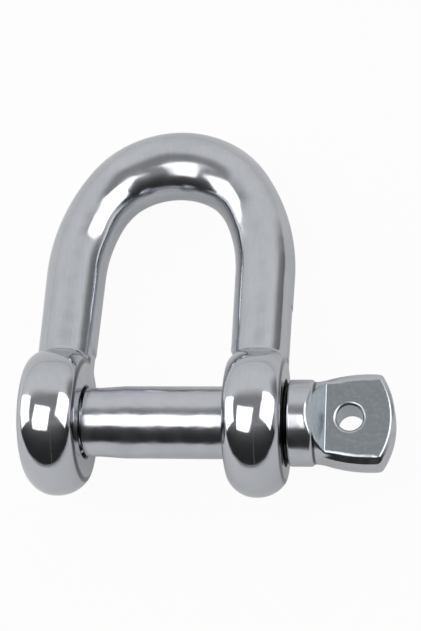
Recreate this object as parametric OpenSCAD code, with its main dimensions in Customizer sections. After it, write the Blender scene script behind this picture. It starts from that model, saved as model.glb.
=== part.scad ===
// Screw-pin D shackle: a forged bow with two round ears, closed by a flat-headed screw pin.
// Millimetres. X runs along the pin towards its head, Y towards the crown, Z up.
// The origin is on the pin axis, midway between the ears. The bow leans so that it lies at rest.

/* [Bow] */
// clear width between the ears
inside_width = 22.2; // [18:0.1:28]
// straight length of each leg from the pin axis to the start of the bend
leg_length = 25.9; // [18:0.1:40]
// bar diameter of a leg where it meets its ear
leg_root_d = 8.9; // [7.8:0.1:8.9]
// distance of a leg's centreline from the machined inner face of its ear
leg_offset = 4.2; // [4:0.05:4.4]
// bar diameter round the crown
bar_d = 9.9; // [9.3:0.1:10.8]
// how much thinner the bar is at each joint on the way down from the crown
bar_step = 0.2; // [0.08:0.02:0.3]
// length by which a thinner bar runs on inside the next one
bar_overlap = 0.8; // [0.4:0.1:1.2]
// bend radius of each shoulder, on the bar centreline
shoulder_bend = 29.8; // [25:0.1:40]
// bend radius of the crown, on the bar centreline
crown_bend = 12.6; // [10:0.1:13.6]
// larger bend radius of the thickening on the inner side of the crown, on its centreline
crown_inner_bend = 14.1; // [13.8:0.1:16]

/* [Ears] */
// outside diameter of an ear
ear_d = 22.7; // [20:0.1:26]
// thickness of an ear between its machined faces
ear_thick = 8.8; // [8.7:0.1:10]
// radius of the rounded rim of an ear
ear_rim = 4; // [2.6:0.1:4.6]
// how far the machined faces cut into the rounded rim
face_cut = 0.7; // [0.4:0.05:1.2]
// radial margin of the machined inner face beyond the ear
face_margin = 0.6; // [0.3:0.1:1]
// chamfer at the mouths of both pin bores
bore_chamfer = 0.6; // [0.3:0.05:0.9]

/* [Pin] */
// shank diameter
pin_d = 11.1; // [10.4:0.1:12]
// diameter of the relieved neck next to the threaded end
neck_d = 10.6; // [10.2:0.1:11]
// nominal thread diameter of the end
thread_d = 10; // [8:0.1:10.2]
// bare length of the neck inside the jaw
neck_length = 2.4; // [1.5:0.1:4]
// length of the taper from the neck up to the shank
neck_taper = 3.6; // [1.5:0.1:5]
// chamfer on the tip of the threaded end
tip_chamfer = 0.9; // [0.4:0.1:1.5]
// how far the tip stays inside the outer face of its ear
tip_inset = 0.4; // [0:0.1:2]

/* [Head] */
// diameter of the collar under the head
collar_d = 13.2; // [12.4:0.1:15]
// length of the collar
collar_length = 3.9; // [2:0.1:5]
// chamfer on both edges of the collar
collar_chamfer = 0.3; // [0.1:0.05:0.6]
// diameter of the round root of the head
root_d = 12.5; // [11:0.1:14]
// distance from the collar to the flats of the head
flat_offset = 1.8; // [1:0.1:3]
// length of the milled ramp from the top of the collar down to a flat
ramp_length = 2.7; // [2:0.1:4]
// length of the head from the collar to its tip
head_length = 12.2; // [11:0.1:16]
// greatest width of the head across its flat
head_width = 14.4; // [12:0.1:16]
// thickness of the head between its flats
head_thick = 6; // [4:0.1:7.5]
// radius of the bulged sides of the head
side_bulge = 22; // [16:0.5:28]
// radius of the bulged end of the head
end_bulge = 13; // [10:0.2:20]
// distance from the collar to where the head is widest
wide_offset = 8.3; // [6:0.1:10]
// chamfer along the sides of the head
side_chamfer = 1; // [0.4:0.05:1.3]
// chamfer along the end of the head
end_chamfer = 0.6; // [0.2:0.05:1]
// diameter of the eye through the head
eye_d = 4; // [3:0.1:5]
// chamfer at both mouths of the eye
eye_chamfer = 0.3; // [0.1:0.05:0.5]
// distance of the eye from the collar
eye_offset = 5.45; // [4.5:0.05:7]

/* [Fits] */
// radial clearance of the shank in the plain bore
shank_clearance = 0.25; // [0.15:0.01:0.4]
// radial clearance of the threaded end in its bore
thread_clearance = 0.06; // [0.04:0.01:0.1]
// gap between the collar and its ear with the pin home
collar_gap = 0.5; // [0.3:0.1:1.5]
// gap between the neck and the face of the threaded ear
neck_gap = 0.2; // [0.1:0.05:0.4]

/* [Look] */
// number of steps round a full circle
curve_steps = 120; // [48:12:180]

/* [Hidden] */
$fn = curve_steps;
steel = [0.72, 0.73, 0.75];
half_turn = 180;
quarter_turn = 90;
past = 1;
ear_r = ear_d / 2;
bar_r = bar_d / 2;
shoulder_r = bar_r - bar_step / 2;
leg_top_r = shoulder_r - bar_step / 2;
inner_face = inside_width / 2;
outer_face = inner_face + ear_thick;
leg_mid = inner_face + leg_offset;

// a crown arc of a given bend touches both shoulder arcs
function crown_turn(bend) = acos((shoulder_bend - leg_mid) / (shoulder_bend - bend));
function crown_y(bend) = leg_length + (shoulder_bend - bend) * sin(crown_turn(bend));
overlap_turn = bar_overlap / shoulder_bend * half_turn / PI;
crown_top = crown_y(crown_bend) + crown_bend;

// lean of the bow when both ears and the crown touch the ground
rest_lean = asin((ear_r - bar_r) / crown_top);

bore_r = pin_d / 2 + shank_clearance;
thread_bore_r = thread_d / 2 + thread_clearance;
tip_x = -(outer_face - tip_inset);
neck_start = -(inner_face - neck_gap);
neck_end = neck_start + neck_length;
shank_start = neck_end + neck_taper;
collar_x = outer_face + collar_gap;
head_x = collar_x + collar_length;
flat_x = head_x + flat_offset;
ramp_x = flat_x - ramp_length;
head_tip = head_x + head_length;
eye_x = head_x + eye_offset;
wide_x = head_x + wide_offset;
ramp_slope = (collar_d - head_thick) / (2 * ramp_length);

module both_sides() {
  children();
  mirror([1, 0, 0])
    children();
}

module along_x() {
  rotate([0, quarter_turn, 0])
    children();
}

module leg() {
  translate([leg_mid, 0, 0])
    rotate([-quarter_turn, 0, 0])
      cylinder(h = leg_length + bar_overlap, r1 = leg_root_d / 2, r2 = leg_top_r);
}

module shoulder() {
  translate([leg_mid - shoulder_bend, leg_length, 0])
    rotate_extrude(angle = crown_turn(crown_bend) + overlap_turn)
      translate([shoulder_bend, 0])
        circle(r = shoulder_r);
}

module crown_arc(bend, radius) {
  translate([0, crown_y(bend), 0])
    rotate([0, 0, crown_turn(bend)])
      rotate_extrude(angle = half_turn - 2 * crown_turn(bend))
        translate([bend, 0])
          circle(r = radius);
}

// half section of an ear, with its outer face cut and its inner face still to be cut
module ear_section() {
  intersection() {
    rounded_section();
    translate([0, inner_face - face_cut])
      square([ear_r + past, ear_thick + face_cut]);
  }
}

module rounded_section() {
  translate([0, inner_face - face_cut])
    square([ear_r - ear_rim, ear_thick + 2 * face_cut]);
  translate([0, inner_face - face_cut + ear_rim])
    square([ear_r, ear_thick + 2 * (face_cut - ear_rim)]);
  translate([ear_r - ear_rim, inner_face - face_cut + ear_rim])
    circle(r = ear_rim);
  translate([ear_r - ear_rim, outer_face + face_cut - ear_rim])
    circle(r = ear_rim);
}

module ear() {
  along_x()
    rotate_extrude()
      ear_section();
}

// machined inner faces of both ears in one cut
module jaw_cut() {
  translate([-inner_face, 0, 0])
    along_x()
      cylinder(h = inside_width, r = ear_r + face_margin);
}

// bore of one ear with a chamfer at each mouth
module ear_bore(radius) {
  translate([inner_face - past, 0, 0])
    along_x()
      cylinder(h = ear_thick + 2 * past, r = radius);
  translate([inner_face - past, 0, 0])
    along_x()
      cylinder(h = bore_chamfer + past, r1 = radius + bore_chamfer + past, r2 = radius);
  translate([outer_face - bore_chamfer, 0, 0])
    along_x()
      cylinder(h = bore_chamfer + past, r1 = radius, r2 = radius + bore_chamfer + past);
}

module bow() {
  color(steel)
    rotate([-rest_lean, 0, 0])
      difference() {
        union() {
          both_sides() {
            leg();
            shoulder();
            ear();
          }
          crown_arc(crown_bend, bar_r);
          crown_arc(crown_inner_bend, leg_top_r);
        }
        jaw_cut();
        ear_bore(bore_r);
        mirror([1, 0, 0])
          ear_bore(thread_bore_r);
      }
}

// half section of everything on the pin that is round
module pin_section() {
  polygon([
    [0, tip_x],
    [thread_d / 2 - tip_chamfer, tip_x],
    [thread_d / 2, tip_x + tip_chamfer],
    [thread_d / 2, neck_start],
    [neck_d / 2, neck_start],
    [neck_d / 2, neck_end],
    [pin_d / 2, shank_start],
    [pin_d / 2, collar_x],
    [collar_d / 2 - collar_chamfer, collar_x],
    [collar_d / 2, collar_x + collar_chamfer],
    [collar_d / 2, head_x - collar_chamfer],
    [collar_d / 2 - collar_chamfer, head_x],
    [0, head_x]
  ]);
}

// round root of the head
module head_root() {
  translate([head_x - collar_chamfer, 0, 0])
    along_x()
      cylinder(h = collar_chamfer + flat_offset + 2 * past, d = root_d);
}

// thick disc with chamfered edges that run on past the flats
module chamfered_disc(radius, chamfer) {
  rotate_extrude()
    polygon([
      [0, -head_thick],
      [radius - chamfer - head_thick / 2, -head_thick],
      [radius, chamfer - head_thick / 2],
      [radius, head_thick / 2 - chamfer],
      [radius - chamfer - head_thick / 2, head_thick],
      [0, head_thick]
    ]);
}

// outline of the head: two bulged sides and a bulged end
module head_plate() {
  intersection() {
    translate([head_x - collar_chamfer, -head_width, -head_thick])
      cube([head_length + past, 2 * head_width, 2 * head_thick]);
    translate([wide_x, head_width / 2 - side_bulge, 0])
      chamfered_disc(side_bulge, side_chamfer);
    translate([wide_x, side_bulge - head_width / 2, 0])
      chamfered_disc(side_bulge, side_chamfer);
    translate([head_tip - end_bulge, 0, 0])
      chamfered_disc(end_bulge, end_chamfer);
  }
}

// one of the two cuts that mill the head flat, with a ramp that runs out into the collar
module flat_cut() {
  rotate([quarter_turn, 0, 0])
    linear_extrude(height = 2 * head_width, center = true)
      polygon([
        [ramp_x - past, collar_d / 2 + past * ramp_slope],
        [flat_x, head_thick / 2],
        [head_tip + past, head_thick / 2],
        [head_tip + past, collar_d],
        [ramp_x - past, collar_d]
      ]);
}

module head_eye() {
  translate([eye_x, 0, 0]) {
    cylinder(h = head_thick + 2 * past, d = eye_d, center = true);
    translate([0, 0, head_thick / 2 - eye_chamfer])
      cylinder(h = eye_chamfer + past, d1 = eye_d, d2 = eye_d + 2 * (eye_chamfer + past));
    translate([0, 0, -head_thick / 2 - past])
      cylinder(h = eye_chamfer + past, d1 = eye_d + 2 * (eye_chamfer + past), d2 = eye_d);
  }
}

module pin() {
  color(steel)
    difference() {
      union() {
        along_x()
          rotate_extrude()
            pin_section();
        head_root();
        head_plate();
      }
      flat_cut();
      mirror([0, 0, 1])
        flat_cut();
      head_eye();
    }
}

bow();
pin();
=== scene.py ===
import math

import bpy
import numpy as np
from mathutils import Matrix, Vector


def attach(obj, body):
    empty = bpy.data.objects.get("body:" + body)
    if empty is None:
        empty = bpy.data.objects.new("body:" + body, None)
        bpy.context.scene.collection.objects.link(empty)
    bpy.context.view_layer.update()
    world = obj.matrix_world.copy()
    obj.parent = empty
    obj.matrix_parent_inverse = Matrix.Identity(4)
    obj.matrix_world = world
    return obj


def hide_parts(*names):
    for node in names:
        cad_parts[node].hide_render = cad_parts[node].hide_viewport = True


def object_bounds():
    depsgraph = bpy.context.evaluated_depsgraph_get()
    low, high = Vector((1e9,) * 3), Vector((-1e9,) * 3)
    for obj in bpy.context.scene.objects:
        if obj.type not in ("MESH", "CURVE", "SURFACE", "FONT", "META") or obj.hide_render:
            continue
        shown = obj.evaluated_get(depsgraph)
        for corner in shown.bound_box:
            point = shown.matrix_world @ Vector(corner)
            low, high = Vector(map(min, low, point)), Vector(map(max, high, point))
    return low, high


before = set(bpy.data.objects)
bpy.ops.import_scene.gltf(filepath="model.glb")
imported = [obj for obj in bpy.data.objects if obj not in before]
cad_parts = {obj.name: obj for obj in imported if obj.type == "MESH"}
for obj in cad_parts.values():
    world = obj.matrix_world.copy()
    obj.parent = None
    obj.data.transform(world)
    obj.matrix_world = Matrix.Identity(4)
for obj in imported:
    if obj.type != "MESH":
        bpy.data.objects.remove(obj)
cadLow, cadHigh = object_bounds()
print("frame loaded:", sorted(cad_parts))

mm = 0.001


# shader maths: a wrapped socket that takes plain Python operators
class Wire:
    def __init__(self, finish, socket):
        self.finish = finish
        self.socket = socket

    def math(self, operation, *values):
        settings = {"operation": operation}
        return self.finish.node("ShaderNodeMath", settings, dict(enumerate(values)))["Value"]

    def __add__(self, other):
        return self.math("ADD", self, other)

    def __sub__(self, other):
        return self.math("SUBTRACT", self, other)

    def __rsub__(self, other):
        return self.math("SUBTRACT", other, self)

    def __mul__(self, other):
        return self.math("MULTIPLY", self, other)

    def __pow__(self, other):
        return self.math("POWER", self, other)

    def __abs__(self):
        return self.math("ABSOLUTE", self)

    __radd__ = __add__
    __rmul__ = __mul__

    # 0 below low, 1 above high, smooth between
    def step(self, low, high):
        settings = {"interpolation_type": "SMOOTHSTEP"}
        sockets = {"Value": self, "From Min": low, "From Max": high}
        return self.finish.node("ShaderNodeMapRange", settings, sockets)["Result"]

    # 1 from low to high, with a fade past each of them
    def band(self, low, high, fadeLow, fadeHigh):
        return self.step(low, low + fadeLow) * (1.0 - self.step(high, high + fadeHigh))


# a node in place, its outputs picked by name
class Made:
    def __init__(self, finish, node):
        self.finish = finish
        self.node = node

    def __getitem__(self, name):
        for socket in self.node.outputs:
            if socket.name == name and socket.enabled:
                return Wire(self.finish, socket)
        raise KeyError(name)


# the node tree of a material or of the world
class Finish:
    def __init__(self, owner):
        owner.use_nodes = True
        self.owner = owner
        self.tree = owner.node_tree
        self.tree.nodes.clear()

    # settings first, then values or links of the sockets, by name or by number
    def node(self, kind, settings=None, sockets=None):
        node = self.tree.nodes.new(kind)
        for name, value in (settings or {}).items():
            setattr(node, name, value)
        for name, value in (sockets or {}).items():
            socket = self.pick(node, name)
            if isinstance(value, Wire):
                self.tree.links.new(value.socket, socket)
            else:
                socket.default_value = value
        return Made(self, node)

    def pick(self, node, name):
        if isinstance(name, int):
            return node.inputs[name]
        return next(socket for socket in node.inputs if socket.name == name and socket.enabled)

    def mix(self, share, first, second):
        sockets = {"Factor": share, "A": first, "B": second}
        return self.node("ShaderNodeMix", {"data_type": "RGBA"}, sockets)["Result"]

    def vector(self, operation, *values):
        settings = {"operation": operation}
        return self.node("ShaderNodeVectorMath", settings, dict(enumerate(values)))["Vector"]

    # place on the piece in millimetres
    def millimetres(self):
        place = self.node("ShaderNodeTexCoord")["Object"]
        return self.vector("MULTIPLY", place, (1.0 / mm, 1.0 / mm, 1.0 / mm))

    # fine noise drawn out into lines
    def stretched(self, place, stretch):
        return self.noise(self.vector("MULTIPLY", place, stretch), 1.0, 3.0, 0.6)

    def noise(self, place, scale, detail, roughness=0.5):
        sockets = {"Vector": place, "Scale": scale, "Detail": detail, "Roughness": roughness}
        return self.node("ShaderNodeTexNoise", None, sockets)["Fac"]

    # the last two nodes of every steel: bump, then the metal itself
    def metal(self, colour, rough, height, strength, distance):
        sockets = {"Strength": strength, "Distance": distance, "Height": height}
        bump = self.node("ShaderNodeBump", None, sockets)["Normal"]
        sockets = {"Base Color": colour, "Metallic": 1.0, "Roughness": rough, "Normal": bump}
        self.output(self.node("ShaderNodeBsdfPrincipled", None, sockets)["BSDF"])

    def output(self, shader, kind="ShaderNodeOutputMaterial"):
        self.node(kind, None, {"Surface": shader})


# how the skins are drawn, lengths in millimetres
skinSet = {
    "probe": 0.002,  # half the step that slopes are taken over
    "leastSteep": 1e-6,
    "relaxRounds": 4,
    "edgeRounds": 5,
    "edgeAngle": 0.05,  # keeps nearly parallel faces from throwing a point far off
    "onEdge": 0.02,  # this near both faces counts as on the edge
    "ownCell": 0.55,  # share of a step that a point on an edge may be off its cell's middle
    "foldRounds": 4,
    "foldLean": 0.2,  # a corner that faces the skin's slope less than this is folded
}


# soft joins of two distance fields: a small fillet or a small rounded edge
def softMin(a, b, blend):
    share = np.clip(0.5 + 0.5 * (b - a) / blend, 0.0, 1.0)
    return b + (a - b) * share - blend * share * (1.0 - share)


def softMax(a, b, blend):
    return -softMin(-a, -b, blend)


# two faces with a chamfer between them
def bevelMax(a, b, chamfer, blend):
    edge = (a + b + chamfer) / math.sqrt(2.0)
    return softMax(np.maximum(a, b), edge, blend)


# slope of a field at many points, by small steps either way
def slopeOf(field, points):
    reach = skinSet["probe"]
    slope = np.empty_like(points)
    for axis in range(3):
        offset = np.zeros(3)
        offset[axis] = reach
        slope[:, axis] = (field(points + offset) - field(points - offset)) / (2.0 * reach)
    return slope


# slide the points along the slope until they sit on the skin
def settle(field, points, step, rounds):
    for _ in range(rounds):
        away = np.clip(field(points), -step, step)
        slope = slopeOf(field, points)
        steep = np.maximum((slope * slope).sum(axis=1), skinSet["leastSteep"])
        points = points - (away / steep)[:, None] * slope
    return points


# where an edge runs through a point's own grid cell, move the point onto the edge and hold it there
def pullToEdges(edges, points, centres, step):
    held = np.zeros(len(points), dtype=bool)
    for edge in edges:
        a, b = edge(points)
        near = np.flatnonzero((np.abs(a) < step) & (np.abs(b) < step) & ~held)
        spot = points[near]
        for _ in range(skinSet["edgeRounds"]):
            a, b = edge(spot)
            slopeA = slopeOf(lambda p: edge(p)[0], spot)
            slopeB = slopeOf(lambda p: edge(p)[1], spot)
            aa = (slopeA ** 2).sum(axis=1)
            bb = (slopeB ** 2).sum(axis=1)
            ab = (slopeA * slopeB).sum(axis=1)
            area = np.maximum(aa * bb - ab * ab, skinSet["edgeAngle"])
            moveA = np.clip((bb * a - ab * b) / area, -step, step)
            moveB = np.clip((aa * b - ab * a) / area, -step, step)
            spot = spot - moveA[:, None] * slopeA - moveB[:, None] * slopeB
        a, b = edge(spot)
        onEdge = (np.abs(a) < skinSet["onEdge"]) & (np.abs(b) < skinSet["onEdge"])
        onEdge &= (np.abs(spot - centres[near]) < skinSet["ownCell"] * step).all(axis=1)
        points[near[onEdge]] = spot[onEdge]
        held[near[onEdge]] = True
    return points, held


# even quad skin over the zero level of a field, sizes in millimetres
def gridSkin(field, edges, low, high, step):
    axes = [np.arange(low[i] - 2.0 * step, high[i] + 2.5 * step, step) for i in range(3)]
    counts = [len(axis) for axis in axes]
    slab = np.stack(np.meshgrid(axes[1], axes[2], indexing="ij"), axis=-1).reshape(-1, 2)
    value = np.empty(counts)
    for i, x in enumerate(axes[0]):
        cut = np.column_stack([np.full(len(slab), x), slab])
        value[i] = field(cut).reshape(counts[1:])
    inside = value < 0.0

    corners = [(i, j, k) for i in (0, 1) for j in (0, 1) for k in (0, 1)]
    filled = np.zeros([n - 1 for n in counts], dtype=np.int8)
    for i, j, k in corners:
        filled += inside[i:counts[0] - 1 + i, j:counts[1] - 1 + j, k:counts[2] - 1 + k]
    active = (filled > 0) & (filled < 8)
    number = np.full(active.shape, -1)
    number[active] = np.arange(active.sum())
    cell = np.argwhere(active)

    # first place of each point: the mean of where the cell's edges cross the skin
    place = np.zeros((len(cell), 3))
    hits = np.zeros(len(cell))
    for a in corners:
        for axis in range(3):
            if a[axis]:
                continue
            b = tuple(a[i] + (i == axis) for i in range(3))
            va = value[tuple((cell + a).T)]
            vb = value[tuple((cell + b).T)]
            cross = (va < 0.0) != (vb < 0.0)
            share = np.where(cross, va / np.where(cross, va - vb, 1.0), 0.0)
            spot = np.array(a) + share[:, None] * (np.array(b) - np.array(a))
            place += np.where(cross[:, None], spot, 0.0)
            hits += cross
    gridStart = np.array([axis[0] for axis in axes])
    points = (cell + place / hits[:, None]) * step + gridStart

    # one quad round each grid edge that the skin crosses
    quads = []
    for axis in range(3):
        u, v = (axis + 1) % 3, (axis + 2) % 3
        here = np.take(inside, range(counts[axis] - 1), axis)
        there = np.take(inside, range(1, counts[axis]), axis)
        edge = np.argwhere(here != there)
        leaving = here[tuple(edge.T)]
        ring = []
        for du, dv in ((1, 1), (0, 1), (0, 0), (1, 0)):
            near = edge.copy()
            near[:, u] -= du
            near[:, v] -= dv
            ring.append(number[tuple(near.T)])
        ring = np.stack(ring, axis=1)
        quads.append(np.where(leaving[:, None], ring, ring[:, ::-1]))
    quads = np.concatenate(quads)

    ends = np.concatenate([quads, np.roll(quads, -1, axis=1)]).reshape(-1)
    others = np.concatenate([np.roll(quads, -1, axis=1), quads]).reshape(-1)
    degree = np.bincount(ends, minlength=len(points))
    points = settle(field, points, step, 2)
    points, held = pullToEdges(edges, points, (cell + 0.5) * step + gridStart, step)
    free = ~held

    def midOfNeighbours():
        sums = [np.bincount(ends, points[others, i], len(points)) for i in range(3)]
        return np.stack(sums, axis=1) / degree[:, None]

    for _ in range(skinSet["relaxRounds"]):
        drawn = 0.5 * points + 0.5 * midOfNeighbours()
        points[free] = settle(field, drawn[free], step, 1)

    # let go of the few held points that fold a quad over
    for _ in range(skinSet["foldRounds"]):
        quadPoints = points[quads]
        facing = slopeOf(field, quadPoints.mean(axis=1))
        turned = np.zeros(len(quads), dtype=bool)
        for i in range(4):
            here = quadPoints[:, i]
            wedge = np.cross(quadPoints[:, (i + 1) % 4] - here, quadPoints[:, i - 1] - here)
            size = np.linalg.norm(wedge, axis=1) * np.linalg.norm(facing, axis=1)
            turned |= (wedge * facing).sum(axis=1) < skinSet["foldLean"] * size
        loose = np.unique(quads[turned])
        points[loose] = settle(field, midOfNeighbours()[loose], step, 2)
    points = settle(field, points, step, 2)
    return points, quads


def makePiece(name, field, edges, low, high, step, turn, body, node):
    points, quads = gridSkin(field, edges, low, high, step)
    normals = slopeOf(field, points)
    normals /= np.linalg.norm(normals, axis=1)[:, None]
    spin = np.array(turn.to_3x3())
    mesh = bpy.data.meshes.new(name)
    mesh.from_pydata(points @ spin.T * mm, [], quads.tolist())
    mesh.polygons.foreach_set("use_smooth", [True] * len(mesh.polygons))
    mesh.update()
    mesh.normals_split_custom_set_from_vertices((normals @ spin.T).tolist())
    piece = bpy.data.objects.new(name, mesh)
    bpy.context.scene.collection.objects.link(piece)
    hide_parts(node)
    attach(piece, body)
    print(name, "skin:", len(points), "points,", len(quads), "quads")
    return piece


# thread of the pin end, rounded at crest and root as a rolled thread is
threadSizes = {"pitch": 1.5, "crestR": 4.98, "depth": 0.8}


def threadRadius(x, y, z):
    turns = x / threadSizes["pitch"] - np.arctan2(z, y) / (2.0 * math.pi)
    wave = 2.0 * np.abs(turns - np.floor(turns) - 0.5)
    return threadSizes["crestR"] - threadSizes["depth"] * wave * wave * (3.0 - 2.0 * wave)


# bow: a bar bent into a D with a round ear at each end
bowSizes = {
    "innerFace": 11.1,
    "outerFace": 19.9,
    "legMid": 15.3,
    "legLength": 25.9,
    "shoulderBend": 29.8,
    "crownBend": 12.6,
    "innerBend": 14.1,  # inner side of the crown, where the bar is thicker
    "barR": (4.45, 4.75, 4.85, 4.95),  # leg foot, leg top, shoulder, crown
    "earR": 11.35,
    "earHub": 5.5,  # the rim is rounded from this radius out
    "earHalf": 5.2,  # half the thickness before the faces are cut
    "earPower": (2.7, 2.0),  # squareness of the rim next to the leg, and a full oval at the far end
    "faceMargin": 0.6,  # the inner faces are cut this far past the rim
    "earTop": 20.0,  # below this nothing stands proud of the outer face
    "boreR": 5.8,
    "boreChamfer": 0.6,
    "threadPlay": 0.16,  # gap between the two threads
    "crease": 0.45,  # fillet between leg and ear
    "edge": 0.36,  # rounding of the machined faces
    "mouthEdge": 0.12,
    "step": 0.28,
}


# a crown arc that touches both shoulder arcs: where along the shoulder it starts, and its centre
def crownArc(s, bend):
    turn = math.acos((s["shoulderBend"] - s["legMid"]) / (s["shoulderBend"] - bend))
    return turn, s["legLength"] + (s["shoulderBend"] - bend) * math.sin(turn)


crownTurn, crownY = crownArc(bowSizes, bowSizes["crownBend"])
innerTurn, innerY = crownArc(bowSizes, bowSizes["innerBend"])
crownTop = crownY + bowSizes["crownBend"]
# it lies on both ear rims and the crown
restLean = math.asin((bowSizes["earR"] - bowSizes["barR"][3]) / crownTop)


# the forged form, the machined faces and the two bores, each as a distance field
def bowParts(p):
    s = bowSizes
    x, y, z = np.abs(p[:, 0]), p[:, 1], p[:, 2]
    rho = np.hypot(y, z)

    # which stretch of the bar is nearest: leg, shoulder arc or crown arc
    shoulderX = s["legMid"] - s["shoulderBend"]
    dx, dy = x - shoulderX, y - s["legLength"]
    onLeg = dy <= 0.0
    onShoulder = ~onLeg & (np.arctan2(dy, dx) < crownTurn)
    shoulderRun = np.hypot(dx, dy)
    crownRun = np.maximum(np.hypot(x, y - crownY), 1e-6)
    pick = [onLeg, onShoulder]
    outX = np.select(pick, [np.ones_like(x), dx / shoulderRun], x / crownRun)
    outY = np.select(pick, [np.zeros_like(x), dy / shoulderRun], (y - crownY) / crownRun)
    inward = np.select(pick, [s["legMid"] - x, s["shoulderBend"] - shoulderRun],
                       s["crownBend"] - crownRun)
    pathX = np.select(pick, [np.full_like(x, s["legMid"]), shoulderX + s["shoulderBend"] * outX],
                      s["crownBend"] * outX)
    pathY = np.select(pick, [y, s["legLength"] + s["shoulderBend"] * outY],
                      crownY + s["crownBend"] * outY)

    # the crown is thicker towards the inside: its section is an oval from the path to a second arc
    along = -(pathX * outX + (pathY - innerY) * outY)
    reach = along ** 2 - pathX ** 2 - (pathY - innerY) ** 2 + s["innerBend"] ** 2
    swellY = s["legLength"] + s["shoulderBend"] * math.sin(innerTurn)
    swell = np.where(pathY > swellY, -along - np.sqrt(np.maximum(reach, 0.0)), 0.0)
    swell = np.maximum(swell, 0.0) / 2.0
    shoulderY = s["legLength"] + s["shoulderBend"] * math.sin(crownTurn)
    barR = np.interp(pathY, [0.0, s["legLength"], shoulderY, crownTop], s["barR"])
    below = np.minimum(y, 0.0) * onLeg
    bar = (np.hypot((inward - swell) / (barR + swell), np.hypot(z, below) / barR) - 1.0) * barR

    # ear: a thick disc with a full round rim
    earMid = (s["innerFace"] + s["outerFace"]) / 2.0
    across = np.abs(x - earMid) / s["earHalf"]
    outward = np.maximum(rho - s["earHub"], 0.0) / (s["earR"] - s["earHub"])
    farSide = np.clip(-y / np.maximum(rho, 1e-6), 0.0, 1.0)
    power = s["earPower"][0] + (s["earPower"][1] - s["earPower"][0]) * farSide ** 2
    ear = ((across ** power + outward ** power) ** (1.0 / power) - 1.0) * s["earHalf"]
    forged = softMin(bar, ear, s["crease"])

    # inner faces milled parallel, outer faces turned flat
    jaw = np.maximum(x - s["innerFace"], rho - s["earR"] - s["faceMargin"])
    outer = np.where(y < s["earTop"], x - s["outerFace"], -s["earHalf"])
    faces = np.maximum(-jaw, outer)

    # a plain bore at the head, a tapped one at the other end, both chamfered
    plain = p[:, 0] > 0.0
    tapped = threadRadius(p[:, 0], y, z) + s["threadPlay"]
    holeR = np.where(plain, s["boreR"], tapped)
    mouthR = np.where(plain, s["boreR"], threadSizes["crestR"] + s["threadPlay"])
    mouth = np.minimum(x - s["innerFace"], s["outerFace"] - x)
    cone = (rho - mouthR - s["boreChamfer"] + mouth) / math.sqrt(2.0)
    return forged, faces, -np.minimum(rho - holeR, cone)


def bowField(p):
    forged, faces, bores = bowParts(p)
    return softMax(softMax(forged, faces, bowSizes["edge"]), bores, bowSizes["mouthEdge"])


# the two kinds of edge that the skin follows: rim of a machined face, mouth of a bore
def bowRim(p):
    return bowParts(p)[:2]


def bowMouth(p):
    return bowParts(p)[1:]


# room for the skin's grid
bowLow = (-20.2, -11.4, -11.5)
bowHigh = (20.2, 52.8, 11.4)
bow = makePiece("bowForged", bowField, (bowRim, bowMouth), bowLow, bowHigh,
                bowSizes["step"], Matrix.Rotation(-restLean, 4, "X"), "bow", "bow")


# pin: threaded end, relieved neck, plain shank, collar and a flat head with an eye
pinSizes = {
    "tipX": -19.5,
    "tipChamfer": 0.9,
    "neckX": -10.9,
    "neckEnd": -8.5,
    "shankX": -4.9,
    "neckR": 5.3,
    "shankR": 5.55,
    "collarX": 20.4,
    "headX": 24.3,
    "collarR": 6.6,
    "collarChamfer": 0.3,
    "rootR": 6.25,
    "rampX": 23.4,
    "flatX": 26.1,
    "headTip": 36.5,
    "headWidth": 14.4,
    "headThick": 6.0,
    "sideBulge": 22.0,
    "endBulge": 13.0,
    "wideX": 32.6,
    "sideChamfer": 1.0,
    "endChamfer": 0.6,
    "corner": 0.4,
    "eyeX": 29.75,
    "eyeR": 2.0,
    "eyeChamfer": 0.3,
    "edge": 0.15,
    "fold": 0.08,  # fillet where the ramp meets the flat
    "brow": (0.32, 0.12),  # rounding of the flat towards its side and end chamfers
    "browReach": (-1.6, -0.8),  # from the end face, where the one turns into the other
    "rootRun": 2.0,  # how far the round root runs on inside the flat head
    "rootBlend": 0.35,
    "tuck": 0.3,  # how far each stretch runs on inside the next
    "step": 0.18,
}


# fall of the ramp from the collar to the flat, for each millimetre along the pin
rampFall = (pinSizes["collarR"] - pinSizes["headThick"] / 2.0) / (pinSizes["flatX"] - pinSizes["rampX"])


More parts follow.
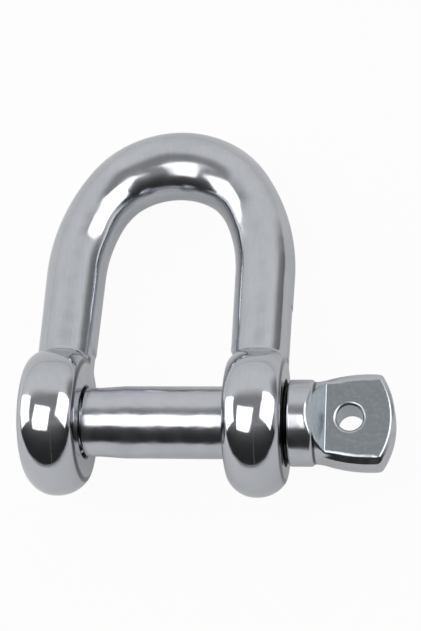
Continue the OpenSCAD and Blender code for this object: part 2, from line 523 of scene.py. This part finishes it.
def pinField(p):
    s = pinSizes
    x, y, z = p[:, 0], p[:, 1], np.abs(p[:, 2])
    rho = np.hypot(y, z)

    thread = np.maximum(rho - threadRadius(x, y, p[:, 2]), x - s["neckX"] - s["tuck"])
    tip = (rho - threadSizes["crestR"] + s["tipChamfer"] + s["tipX"] - x) / math.sqrt(2.0)
    thread = softMax(softMax(thread, tip, s["edge"]), s["tipX"] - x, s["edge"])

    swell = np.clip((x - s["neckEnd"]) / (s["shankX"] - s["neckEnd"]), 0.0, 1.0)
    shank = softMax(rho - s["neckR"] - (s["shankR"] - s["neckR"]) * swell, s["neckX"] - x, s["edge"])
    shank = np.maximum(shank, x - s["collarX"] - s["tuck"])

    collarMid = (s["collarX"] + s["headX"]) / 2.0
    collarHalf = (s["headX"] - s["collarX"]) / 2.0
    collarSides = np.abs(x - collarMid) - collarHalf
    collar = bevelMax(rho - s["collarR"], collarSides, s["collarChamfer"], s["edge"])
    rootEnds = np.maximum(s["headX"] - s["tuck"] - x, x - s["flatX"] - s["rootRun"])
    root = np.maximum(rho - s["rootR"], rootEnds)

    # head: two bulged sides and a bulged end, all chamfered towards the flats
    slab = z - s["headThick"] / 2.0
    side = np.hypot(x - s["wideX"], np.abs(y) + s["sideBulge"] - s["headWidth"] / 2.0) - s["sideBulge"]
    end = np.hypot(x - s["headTip"] + s["endBulge"], y) - s["endBulge"]
    plate = softMax(side, end, s["corner"])
    plate = softMax(plate, (side + slab + s["sideChamfer"]) / math.sqrt(2.0), s["edge"])
    plate = softMax(plate, (end + slab + s["endChamfer"]) / math.sqrt(2.0), s["edge"])
    plate = np.maximum(plate, s["headX"] - s["tuck"] - x)

    # the flats are milled across it, with a ramp that runs out into the collar
    ramp = (z - s["collarR"] + rampFall * (x - s["rampX"])) / math.hypot(1.0, rampFall)
    milled = softMin(slab, ramp, s["fold"])

    solid = softMin(softMin(thread, shank, s["edge"]), collar, s["edge"])
    solid = softMin(solid, softMin(root, plate, s["rootBlend"]), s["edge"])
    solid = softMax(solid, milled, np.interp(end, s["browReach"], s["brow"]))
    eye = np.hypot(x - s["eyeX"], y) - s["eyeR"]
    cone = (eye - s["eyeChamfer"] + s["headThick"] / 2.0 - z) / math.sqrt(2.0)
    return softMax(solid, -np.minimum(eye, cone), s["edge"])


# room for its grid
pinLow = (-19.6, -7.3, -6.8)
pinHigh = (36.6, 7.3, 6.8)
pin = makePiece("pinTurned", pinField, (), pinLow, pinHigh, pinSizes["step"],
                Matrix.Identity(4), "pin", "pin")


# steel colours that bow and pin share
steelTones = {
    "pale": (0.578, 0.595, 0.627, 1.0),
    "deep": (0.528, 0.547, 0.58, 1.0),
    # painted shade in the bores and in the gaps under the collar
    "oilDark": (0.03, 0.03, 0.032, 1.0),
    # painted dark lines: a dark reflection along the bow's machined faces, and shade at the foot of the
    # pin's step
    "edgeDark": (0.13, 0.135, 0.145, 1.0),
}

# polished stainless of the bow; scales are for each millimetre, lengths in millimetres
bowLook = {
    "cloudScale": 0.16,
    "grainScale": 2.2,
    "streakStretch": (2.4, 0.1, 2.4),  # polishing lines run along the legs
    "streakShare": 0.4,
    "toneRange": (0.35, 0.68),
    "gloss": 0.05,
    "haze": 0.08,
    "patches": 0.05,  # uneven polish
    "patchScale": 0.5,
    "patchRange": (0.35, 0.7),
    "crownHaze": 0.07,
    "crownHazeFrom": (26.0, 40.0),  # sets in between these, along Y
    # painted dark reflection line beside a machined face
    "edgeBand": (0.01, 0.16, 0.05, 0.24),  # dark line beside a machined face: from, to, and its fades
    "edgeEnd": (10.0, 11.0),  # no lines past here, where the legs are
    # painted shade: how far the darkening reaches in the bores and under the collar
    "oilReach": (5.5, 5.95, 6.7),  # radius it reaches: tapped bore, plain bore, under the collar
    "oilFade": (-0.05, 0.1),
    "plainSide": (-1.0, 1.0),  # from here across the bore is the plain one
    "collarSide": (18.0, 19.0),  # and from here the face is under the collar
    "boreRough": 0.55,
    "waveScale": 0.22,
    "crownWave": 6.0,  # the crown is polished by hand, so it is wavier
    "crownWaveScale": 0.14,
    "crownWaveShift": (7.0, 3.0, 0.0),
    "crownWaveFrom": (30.0, 42.0),  # also along Y
    "grainHeight": 0.03,
    "bumpStrength": 0.25,
    "bumpDistance": 0.0004,  # metres
}


def bowSteel(s):
    finish = Finish(bpy.data.materials.new("polishedBowSteel"))
    place = finish.millimetres()
    cloud = finish.noise(place, s["cloudScale"], 3.0)
    grain = finish.noise(place, s["grainScale"], 4.0, 0.6)
    streak = finish.stretched(place, s["streakStretch"])
    tone = (1.0 - s["streakShare"]) * cloud + s["streakShare"] * streak
    colour = finish.mix(tone.step(*s["toneRange"]), steelTones["pale"], steelTones["deep"])
    patches = finish.noise(place, s["patchScale"], 2.0, 0.5).step(*s["patchRange"])
    rough = s["gloss"] + s["haze"] * (0.5 * cloud + 0.5 * grain)
    rough = rough + s["patches"] * (patches - 0.5)

    # painted dark reflection: a dark line is painted along the edges of the machined faces
    axes = finish.node("ShaderNodeSeparateXYZ", None, {"Vector": place})
    across = abs(axes["X"])
    inner = across - bowSizes["innerFace"]
    outer = bowSizes["outerFace"] - across
    gap = inner.math("MINIMUM", inner, outer)
    line = gap.band(*s["edgeBand"]) * (1.0 - axes["Y"].step(*s["edgeEnd"]))
    colour = finish.mix(line, colour, steelTones["edgeDark"])

    # painted shade: the bores and the ring of the outer face under the collar are darkened, and made
    # rough as drilled
    rho = (axes["Y"] ** 2.0 + axes["Z"] ** 2.0) ** 0.5
    tapped, plain, underCollar = s["oilReach"]
    reach = tapped + (plain - tapped) * axes["X"].step(*s["plainSide"])
    reach = reach + (underCollar - plain) * axes["X"].step(*s["collarSide"])
    unshaded = (rho - reach).step(*s["oilFade"])
    colour = finish.mix(unshaded, steelTones["oilDark"], colour)
    rough = rough + s["crownHaze"] * axes["Y"].step(*s["crownHazeFrom"])
    rough = s["boreRough"] + (rough - s["boreRough"]) * unshaded

    # slight waves all over, stronger ones on the crown
    wave = finish.noise(place, s["waveScale"], 1.0)
    shifted = finish.vector("ADD", place, s["crownWaveShift"])
    handWork = finish.noise(shifted, s["crownWaveScale"], 0.0) - 0.5
    wave = wave + s["crownWave"] * handWork * axes["Y"].step(*s["crownWaveFrom"])
    finish.metal(colour, rough, wave + s["grainHeight"] * grain, s["bumpStrength"], s["bumpDistance"])
    return finish.owner


# turned and polished stainless of the pin, satin on the flats of its head
pinLook = {
    "cloudScale": 0.3,
    "toneRange": (0.35, 0.7),
    "gloss": 0.13,
    "haze": 0.1,
    "ringStretch": (5.0, 0.12, 0.12),  # turning marks run round the pin
    "ringHeight": 0.1,
    "patches": 0.07,  # uneven polish of the shank
    "patchScale": 0.45,
    "patchRange": (0.35, 0.7),
    "waveScale": 0.35,
    "waveHeight": 6.5,
    "satin": 0.17,
    "satinHaze": 0.1,
    "strokeStretch": (0.25, 6.0, 0.25),  # milling marks run along the head
    "milled": (0.48, 0.525, 0.565, 1.0),
    "milledPale": (0.57, 0.60, 0.63, 1.0),
    "milledScale": 1.6,
    "milledRange": (0.4, 0.75),
    "flatDepth": (-0.1, -0.04),  # satin is as thin as this under ramp and flat
    "flatStart": (-0.2, 0.1),  # and begins here, from the head of the ramp
    "eyeRing": (0.5, 0.6),  # it goes round the eye too, this far out
    # painted shade on the shank, in the gap under the collar
    "oilBand": (19.55, 20.5, 0.25, 0.15),  # along the shank, in the gap under the collar
    # painted shade at the foot of the step between collar and head
    "stepBand": (24.2, 24.55, 0.1, 0.2),  # foot of the step between collar and head
    "bumpStrength": 0.2,
    "bumpDistance": 0.00006,  # metres
}


def pinSteel(s):
    finish = Finish(bpy.data.materials.new("turnedPinSteel"))
    place = finish.millimetres()
    axes = finish.node("ShaderNodeSeparateXYZ", None, {"Vector": place})

    # where the head was milled: ramp, flat and eye
    flatHeight = pinSizes["headThick"] / 2.0
    ramp = pinSizes["collarR"] - rampFall * (axes["X"] - pinSizes["rampX"])
    depth = abs(axes["Z"]) - ramp.math("MAXIMUM", ramp, flatHeight)
    starts = [pinSizes["rampX"] + offset for offset in s["flatStart"]]
    flat = depth.step(*s["flatDepth"]) * axes["X"].step(*starts)
    eye = ((axes["X"] - pinSizes["eyeX"]) ** 2.0 + axes["Y"] ** 2.0) ** 0.5
    ring = [pinSizes["eyeR"] + offset for offset in s["eyeRing"]]
    flat = flat.math("MAXIMUM", flat, 1.0 - eye.step(*ring))

    cloud = finish.noise(place, s["cloudScale"], 3.0)
    rings = finish.stretched(place, s["ringStretch"])
    strokes = finish.stretched(place, s["strokeStretch"])
    colour = finish.mix(cloud.step(*s["toneRange"]), steelTones["pale"], steelTones["deep"])
    # painted shade: the shank in the gap under the collar is darkened
    gapShade = axes["X"].band(*s["oilBand"])
    grain = finish.noise(place, s["milledScale"], 4.0, 0.65)
    milled = finish.mix(grain.step(*s["milledRange"]), s["milled"], s["milledPale"])
    # painted shade at the foot of the step between collar and head
    colour = finish.mix(axes["X"].band(*s["stepBand"]), colour, steelTones["edgeDark"])
    colour = finish.mix(gapShade, finish.mix(flat, colour, milled), steelTones["oilDark"])

    patches = finish.noise(place, s["patchScale"], 2.0, 0.5).step(*s["patchRange"])
    polished = s["gloss"] + s["haze"] * rings + s["patches"] * (patches - 0.5)
    satin = s["satin"] + s["satinHaze"] * strokes
    rough = polished + (satin - polished) * flat
    wave = finish.noise(place, s["waveScale"], 1.0)
    height = (rings * s["ringHeight"] + wave * s["waveHeight"]) * (1.0 - flat) + strokes * flat
    finish.metal(colour, rough, height, s["bumpStrength"], s["bumpDistance"])
    return finish.owner


bow.data.materials.append(bowSteel(bowLook))
pin.data.materials.append(pinSteel(pinLook))
print("steel finishes made")


# white paper under the shackle, dark flags in front and at the right, three soft boxes above
floorSide = 6.0
middle = Vector((0.006, 0.016, 0.0))  # what the soft boxes are aimed at


# a direction seen from the shackle: azimuth from the front towards +X, then elevation
def towards(azimuth, elevation):
    a, e = math.radians(azimuth), math.radians(elevation)
    return Vector((math.sin(a) * math.cos(e), -math.cos(a) * math.cos(e), math.sin(e)))


def makeCard(name, centre, facing, width, height):
    mesh = bpy.data.meshes.new(name)
    w, h = width / 2.0, height / 2.0
    mesh.from_pydata([(-w, -h, 0.0), (w, -h, 0.0), (w, h, 0.0), (-w, h, 0.0)], [], [(0, 1, 2, 3)])
    card = bpy.data.objects.new(name, mesh)
    card.location = centre
    card.rotation_euler = facing.to_track_quat("Z", "Y").to_euler()
    bpy.context.scene.collection.objects.link(card)
    return card


# pale paper that the camera sees as white, with the shadow still on it
paperLook = {
    "colour": (0.85, 0.85, 0.85, 1.0),
    "whiteToCamera": 0.95,
    "whiteToSteel": 0.22,
}


def paperWhite(s):
    finish = Finish(bpy.data.materials.new("paperWhite"))
    paper = finish.node("ShaderNodeBsdfDiffuse", None, {"Color": s["colour"]})["BSDF"]
    white = {"Color": (1.0, 1.0, 1.0, 1.0), "Strength": 1.0}
    glow = finish.node("ShaderNodeEmission", None, white)["Emission"]
    path = finish.node("ShaderNodeLightPath")
    share = s["whiteToCamera"] * path["Is Camera Ray"]
    share = share + s["whiteToSteel"] * (path["Is Glossy Ray"] + path["Is Transmission Ray"])
    finish.output(finish.node("ShaderNodeMixShader", None, {0: share, 1: paper, 2: glow})["Shader"])
    return finish.owner


floorPlace = Vector((0.0, 0.0, cadLow.z))
floor = makeCard("floorSheet", floorPlace, Vector((0.0, 0.0, 1.0)), floorSide, floorSide)
floor.data.materials.append(paperWhite(paperLook))

# flags are seen only in the steel: each is darkest at its foot, and the right one has soft edges
flags = {
    "frontFlagLeft": {"place": (-0.785, -0.36, 0.47), "facing": (0.0, 1.0, 0.0), "size": (1.63, 0.88),
                      "foot": 0.03, "head": 0.3, "soft": 0.0},
    "frontFlagRight": {"place": (0.849, -0.36, 0.47), "facing": (0.0, 1.0, 0.0), "size": (1.63, 0.88),
                       "foot": 0.03, "head": 0.3, "soft": 0.0},
    "rightFlag": {"place": (0.663, 0.399, 0.2), "facing": (-0.857, -0.515, 0.0), "size": (0.66, 0.6),
                  "foot": 0.2, "head": 0.5, "soft": 0.45},
}
skySet = {
    "white": (0.8, 0.8, 0.8, 1.0),
    "low": (0.72, 0.72, 0.72, 1.0),  # near the floor, and at the soft edges of a flag
    "grey": (0.31, 0.31, 0.315, 1.0),
    "rise": (0.0, 0.55),  # height over which low turns into white
    "ahead": 0.25,  # how far white comes round to the front at floor level
    "slant": 0.75,  # and how fast it draws back upwards
    "blend": (-0.1, 0.3),
}


def flagCloth(name, s):
    finish = Finish(bpy.data.materials.new(name))
    place = finish.node("ShaderNodeTexCoord")["Generated"]
    axes = finish.node("ShaderNodeSeparateXYZ", None, {"Vector": place})
    foot, head = ((s[key], s[key], s[key], 1.0) for key in ("foot", "head"))
    colour = finish.mix(axes["Y"] ** 2.0, foot, head)
    if s["soft"]:
        cover = axes["X"].step(0.0, s["soft"]) * (1.0 - axes["X"]).step(0.0, s["soft"])
        cover = cover * (1.0 - axes["Y"]).step(0.0, s["soft"])
        colour = finish.mix(cover, skySet["low"], colour)
    sockets = {"Base Color": (0.0, 0.0, 0.0, 1.0), "Specular IOR Level": 0.0,
               "Emission Color": colour, "Emission Strength": 1.0}
    finish.output(finish.node("ShaderNodeBsdfPrincipled", None, sockets)["BSDF"])
    return finish.owner


def makeFlag(name, s):
    flag = makeCard(name, Vector(s["place"]), Vector(s["facing"]), *s["size"])
    flag.visible_camera = False
    flag.visible_diffuse = False
    flag.visible_shadow = False
    flag.data.materials.append(flagCloth(name + "Cloth", s))


for name, sizes in flags.items():
    makeFlag(name, sizes)

softBoxes = {
    "softBoxTop": {"across": -16.5, "ahead": 12.5, "twist": -13.0, "size": (0.28, 0.38), "wide": True},
    "softBoxLeft": {"across": -61.0, "ahead": -3.0, "twist": 0.0, "size": (0.46, 0.40), "wide": True},
    "softBoxRight": {"across": 44.0, "ahead": -4.0, "twist": -12.0, "size": (0.6, 0.5), "wide": False},
}
boxDistance = 0.6
boxLevel = 2.05


# across and ahead are angles from straight overhead, towards +X and towards the front;
# a wide box lights the paper too, the other is there for the steel alone
def makeSoftBox(name, s):
    lamp = bpy.data.lights.new(name, "AREA")
    lamp.shape = "RECTANGLE"
    lamp.size, lamp.size_y = s["size"]
    lamp.energy = boxLevel * math.pi * s["size"][0] * s["size"][1]
    lampObject = bpy.data.objects.new(name, lamp)
    turns = (("across", "Y"), ("ahead", "X"), ("twist", "Z"))
    across, ahead, twist = (Matrix.Rotation(math.radians(s[key]), 4, axis) for key, axis in turns)
    lift = Matrix.Translation((0.0, 0.0, boxDistance))
    lampObject.matrix_world = Matrix.Translation(middle) @ across @ ahead @ lift @ twist
    lampObject.visible_camera = False
    lampObject.visible_diffuse = s["wide"]
    bpy.context.scene.collection.objects.link(lampObject)


for name, sizes in softBoxes.items():
    makeSoftBox(name, sizes)

# white low at the back and sides, paler upwards, and grey overhead and in front
world = bpy.data.worlds.new("studioWorld")
bpy.context.scene.world = world
studio = Finish(world)
ray = studio.node("ShaderNodeTexCoord")["Generated"]
ray = studio.node("ShaderNodeSeparateXYZ", None, {"Vector": ray})
lowBack = ray["Y"] + skySet["ahead"] - skySet["slant"] * ray["Z"]
white = studio.mix(ray["Z"].step(*skySet["rise"]), skySet["low"], skySet["white"])
sky = studio.mix(lowBack.step(*skySet["blend"]), skySet["grey"], white)
background = studio.node("ShaderNodeBackground", None, {"Color": sky})["Background"]
studio.output(background, "ShaderNodeOutputWorld")
bpy.context.scene.view_settings.view_transform = "Standard"
print("paper, flags and soft boxes set")


# camera: given in the bow's own frame, then leaned with it
cameraSet = {
    "azimuth": 16.95,
    "elevation": 59.95,
    "roll": -14.975,
    "distance": 0.300,
    "target": (0.007002, 0.018719, 0.0),
    "focalPixels": 1903.55,
    "longSide": 631.0,
    "sensor": 36.0,
    "clipStart": 0.01,
}


def makeCamera(s):
    back = towards(s["azimuth"], s["elevation"])
    a, e, r = (math.radians(s[key]) for key in ("azimuth", "elevation", "roll"))
    right = Vector((math.cos(a), math.sin(a), 0.0))
    up = Vector((-math.sin(a) * math.sin(e), math.cos(a) * math.sin(e), math.cos(e)))
    rightTurned = math.cos(r) * right + math.sin(r) * up
    upTurned = math.cos(r) * up - math.sin(r) * right
    lean = Matrix.Rotation(-restLean, 3, "X")
    columns = [lean @ v for v in (rightTurned, upTurned, back)]
    matrix = Matrix(columns).transposed().to_4x4()
    matrix.translation = lean @ (Vector(s["target"]) + back * s["distance"])
    data = bpy.data.cameras.new("photoCamera")
    data.sensor_width = s["sensor"]
    data.lens = s["focalPixels"] * s["sensor"] / s["longSide"]
    data.clip_start = s["clipStart"]
    camera = bpy.data.objects.new("photoCamera", data)
    camera.matrix_world = matrix
    bpy.context.scene.collection.objects.link(camera)
    bpy.context.scene.camera = camera


makeCamera(cameraSet)
print("camera set")
